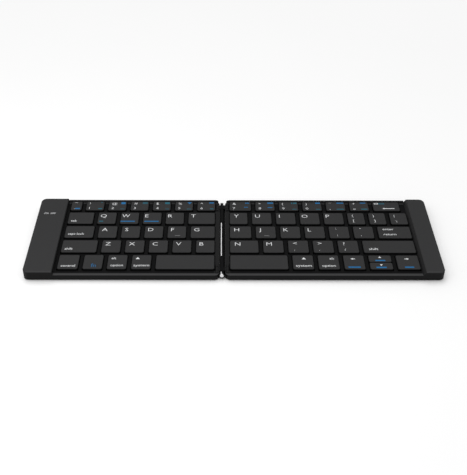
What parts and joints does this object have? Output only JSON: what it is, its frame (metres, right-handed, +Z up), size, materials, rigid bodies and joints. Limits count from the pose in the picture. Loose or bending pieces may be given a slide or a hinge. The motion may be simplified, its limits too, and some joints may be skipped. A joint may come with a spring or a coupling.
{
  "type": "folding keyboard",
  "caption": "Slim keyboard in two halves that fold face to face on a two-pivot link, with raised end caps, keys that travel and a slide switch.",
  "frame": {"origin": "middle of the opened keyboard's footprint, on the surface that it stands on", "axes": "+X to the right, +Y away from the user, +Z up"},
  "size_m": [0.293, 0.088, 0.0076],
  "materials": {
    "shell": "fine matte black",
    "frame": "matte black",
    "key": "matte black keycaps",
    "rubber": "soft",
    "plate": "sheet",
    "film": "polyester film",
    "steel": "drawn",
    "board": "lacquered",
    "foil": "foil pouch",
    "flex": "flat cable"
  },
  "bodies": {
    "left_half": {"charging_port": "steel", "circuit_board": "board", "left_base_plate": "plate", "left_bottom_cover": "shell", "left_dome_sheet": "rubber", "left_feet": "rubber", "left_key_frame": "frame", "left_membrane": "film", "left_screws": "steel", "left_wing_cover": "shell", "switch_body": "steel"},
    "hinge_link": {"hinge_spine": "frame", "hinge_rod": "steel", "left_hinge_pins": "steel", "right_hinge_pins": "steel", "flex_cable": "flex"},
    "right_half": {"battery": "foil", "right_base_plate": "plate", "right_bottom_cover": "shell", "right_dome_sheet": "rubber", "right_feet": "rubber", "right_key_frame": "frame", "right_membrane": "film", "right_screws": "steel", "right_wing_cover": "shell"},
    "switch_knob": {"switch_knob": "frame"},
    "key_a": {"key_a": "key"},
    "key_b": {"key_b": "key"},
    "key_c": {"key_c": "key"},
    "key_d": {"key_d": "key"},
    "key_e": {"key_e": "key"},
    "key_f": {"key_f": "key"},
    "key_g": {"key_g": "key"},
    "key_h": {"key_h": "key"},
    "key_i": {"key_i": "key"},
    "key_j": {"key_j": "key"},
    "key_k": {"key_k": "key"},
    "key_l": {"key_l": "key"},
    "key_m": {"key_m": "key"},
    "key_n": {"key_n": "key"},
    "key_o": {"key_o": "key"},
    "key_p": {"key_p": "key"},
    "key_q": {"key_q": "key"},
    "key_r": {"key_r": "key"},
    "key_s": {"key_s": "key"},
    "key_space_left": {"key_space_left": "key"},
    "key_space_right": {"key_space_right": "key"},
    "key_t": {"key_t": "key"},
    "key_u": {"key_u": "key"},
    "key_v": {"key_v": "key"},
    "key_w": {"key_w": "key"},
    "key_x": {"key_x": "key"},
    "key_y": {"key_y": "key"},
    "key_z": {"key_z": "key"},
    "keys_arrow": {"keys_arrow": "key"},
    "keys_modifier_left": {"keys_modifier_left": "key"},
    "keys_modifier_right": {"keys_modifier_right": "key"},
    "keys_number_left": {"keys_number_left": "key"},
    "keys_number_right": {"keys_number_right": "key"},
    "keys_punctuation": {"keys_punctuation": "key"}
  },
  "joints": [
    {"name": "fold_link", "type": "hinge", "parent": "left_half", "child": "hinge_link", "pos_m": [-0.01225, 0, 0.004], "axis": [0, -1, 0], "range_deg": [0, 90]},
    {"name": "fold_right_half", "type": "hinge", "parent": "hinge_link", "child": "right_half", "pos_m": [-0.00475, 0, 0.004], "axis": [0, -1, 0], "range_deg": [0, 90]},
    {"name": "switch_slide", "type": "slide", "parent": "left_half", "child": "switch_knob", "axis": [1, 0, 0], "range_m": [0, 0.002]},
    {"name": "press_key_a", "type": "slide", "parent": "left_half", "child": "key_a", "axis": [0, 0, -1], "range_m": [0, 0.0011], "stiffness_N_per_m": 300, "springref_m": -0.0006},
    {"name": "press_key_b", "type": "slide", "parent": "left_half", "child": "key_b", "axis": [0, 0, -1], "range_m": [0, 0.0011], "stiffness_N_per_m": 300, "springref_m": -0.0006},
    {"name": "press_key_c", "type": "slide", "parent": "left_half", "child": "key_c", "axis": [0, 0, -1], "range_m": [0, 0.0011], "stiffness_N_per_m": 300, "springref_m": -0.0006},
    {"name": "press_key_d", "type": "slide", "parent": "left_half", "child": "key_d", "axis": [0, 0, -1], "range_m": [0, 0.0011], "stiffness_N_per_m": 300, "springref_m": -0.0006},
    {"name": "press_key_e", "type": "slide", "parent": "left_half", "child": "key_e", "axis": [0, 0, -1], "range_m": [0, 0.0011], "stiffness_N_per_m": 300, "springref_m": -0.0006},
    {"name": "press_key_f", "type": "slide", "parent": "left_half", "child": "key_f", "axis": [0, 0, -1], "range_m": [0, 0.0011], "stiffness_N_per_m": 300, "springref_m": -0.0006},
    {"name": "press_key_g", "type": "slide", "parent": "left_half", "child": "key_g", "axis": [0, 0, -1], "range_m": [0, 0.0011], "stiffness_N_per_m": 300, "springref_m": -0.0006},
    {"name": "press_key_h", "type": "slide", "parent": "right_half", "child": "key_h", "axis": [0, 0, -1], "range_m": [0, 0.0011], "stiffness_N_per_m": 300, "springref_m": -0.0006},
    {"name": "press_key_i", "type": "slide", "parent": "right_half", "child": "key_i", "axis": [0, 0, -1], "range_m": [0, 0.0011], "stiffness_N_per_m": 300, "springref_m": -0.0006},
    {"name": "press_key_j", "type": "slide", "parent": "right_half", "child": "key_j", "axis": [0, 0, -1], "range_m": [0, 0.0011], "stiffness_N_per_m": 300, "springref_m": -0.0006},
    {"name": "press_key_k", "type": "slide", "parent": "right_half", "child": "key_k", "axis": [0, 0, -1], "range_m": [0, 0.0011], "stiffness_N_per_m": 300, "springref_m": -0.0006},
    {"name": "press_key_l", "type": "slide", "parent": "right_half", "child": "key_l", "axis": [0, 0, -1], "range_m": [0, 0.0011], "stiffness_N_per_m": 300, "springref_m": -0.0006},
    {"name": "press_key_m", "type": "slide", "parent": "right_half", "child": "key_m", "axis": [0, 0, -1], "range_m": [0, 0.0011], "stiffness_N_per_m": 300, "springref_m": -0.0006},
    {"name": "press_key_n", "type": "slide", "parent": "right_half", "child": "key_n", "axis": [0, 0, -1], "range_m": [0, 0.0011], "stiffness_N_per_m": 300, "springref_m": -0.0006},
    {"name": "press_key_o", "type": "slide", "parent": "right_half", "child": "key_o", "axis": [0, 0, -1], "range_m": [0, 0.0011], "stiffness_N_per_m": 300, "springref_m": -0.0006},
    {"name": "press_key_p", "type": "slide", "parent": "right_half", "child": "key_p", "axis": [0, 0, -1], "range_m": [0, 0.0011], "stiffness_N_per_m": 300, "springref_m": -0.0006},
    {"name": "press_key_q", "type": "slide", "parent": "left_half", "child": "key_q", "axis": [0, 0, -1], "range_m": [0, 0.0011], "stiffness_N_per_m": 300, "springref_m": -0.0006},
    {"name": "press_key_r", "type": "slide", "parent": "left_half", "child": "key_r", "axis": [0, 0, -1], "range_m": [0, 0.0011], "stiffness_N_per_m": 300, "springref_m": -0.0006},
    {"name": "press_key_s", "type": "slide", "parent": "left_half", "child": "key_s", "axis": [0, 0, -1], "range_m": [0, 0.0011], "stiffness_N_per_m": 300, "springref_m": -0.0006},
    {"name": "press_key_space_left", "type": "slide", "parent": "left_half", "child": "key_space_left", "axis": [0, 0, -1], "range_m": [0, 0.0011], "stiffness_N_per_m": 300, "springref_m": -0.0006},
    {"name": "press_key_space_right", "type": "slide", "parent": "right_half", "child": "key_space_right", "axis": [0, 0, -1], "range_m": [0, 0.0011], "stiffness_N_per_m": 300, "springref_m": -0.0006},
    {"name": "press_key_t", "type": "slide", "parent": "left_half", "child": "key_t", "axis": [0, 0, -1], "range_m": [0, 0.0011], "stiffness_N_per_m": 300, "springref_m": -0.0006},
    {"name": "press_key_u", "type": "slide", "parent": "right_half", "child": "key_u", "axis": [0, 0, -1], "range_m": [0, 0.0011], "stiffness_N_per_m": 300, "springref_m": -0.0006},
    {"name": "press_key_v", "type": "slide", "parent": "left_half", "child": "key_v", "axis": [0, 0, -1], "range_m": [0, 0.0011], "stiffness_N_per_m": 300, "springref_m": -0.0006},
    {"name": "press_key_w", "type": "slide", "parent": "left_half", "child": "key_w", "axis": [0, 0, -1], "range_m": [0, 0.0011], "stiffness_N_per_m": 300, "springref_m": -0.0006},
    {"name": "press_key_x", "type": "slide", "parent": "left_half", "child": "key_x", "axis": [0, 0, -1], "range_m": [0, 0.0011], "stiffness_N_per_m": 300, "springref_m": -0.0006},
    {"name": "press_key_y", "type": "slide", "parent": "right_half", "child": "key_y", "axis": [0, 0, -1], "range_m": [0, 0.0011], "stiffness_N_per_m": 300, "springref_m": -0.0006},
    {"name": "press_key_z", "type": "slide", "parent": "left_half", "child": "key_z", "axis": [0, 0, -1], "range_m": [0, 0.0011], "stiffness_N_per_m": 300, "springref_m": -0.0006},
    {"name": "press_keys_arrow", "type": "slide", "parent": "right_half", "child": "keys_arrow", "axis": [0, 0, -1], "range_m": [0, 0.0011], "stiffness_N_per_m": 1200, "springref_m": -0.0006},
    {"name": "press_keys_modifier_left", "type": "slide", "parent": "left_half", "child": "keys_modifier_left", "axis": [0, 0, -1], "range_m": [0, 0.0011], "stiffness_N_per_m": 2100, "springref_m": -0.0006},
    {"name": "press_keys_modifier_right", "type": "slide", "parent": "right_half", "child": "keys_modifier_right", "axis": [0, 0, -1], "range_m": [0, 0.0011], "stiffness_N_per_m": 1200, "springref_m": -0.0006},
    {"name": "press_keys_number_left", "type": "slide", "parent": "left_half", "child": "keys_number_left", "axis": [0, 0, -1], "range_m": [0, 0.0011], "stiffness_N_per_m": 2100, "springref_m": -0.0006},
    {"name": "press_keys_number_right", "type": "slide", "parent": "right_half", "child": "keys_number_right", "axis": [0, 0, -1], "range_m": [0, 0.0011], "stiffness_N_per_m": 2100, "springref_m": -0.0006},
    {"name": "press_keys_punctuation", "type": "slide", "parent": "right_half", "child": "keys_punctuation", "axis": [0, 0, -1], "range_m": [0, 0.0011], "stiffness_N_per_m": 2400, "springref_m": -0.0006}
  ]
}
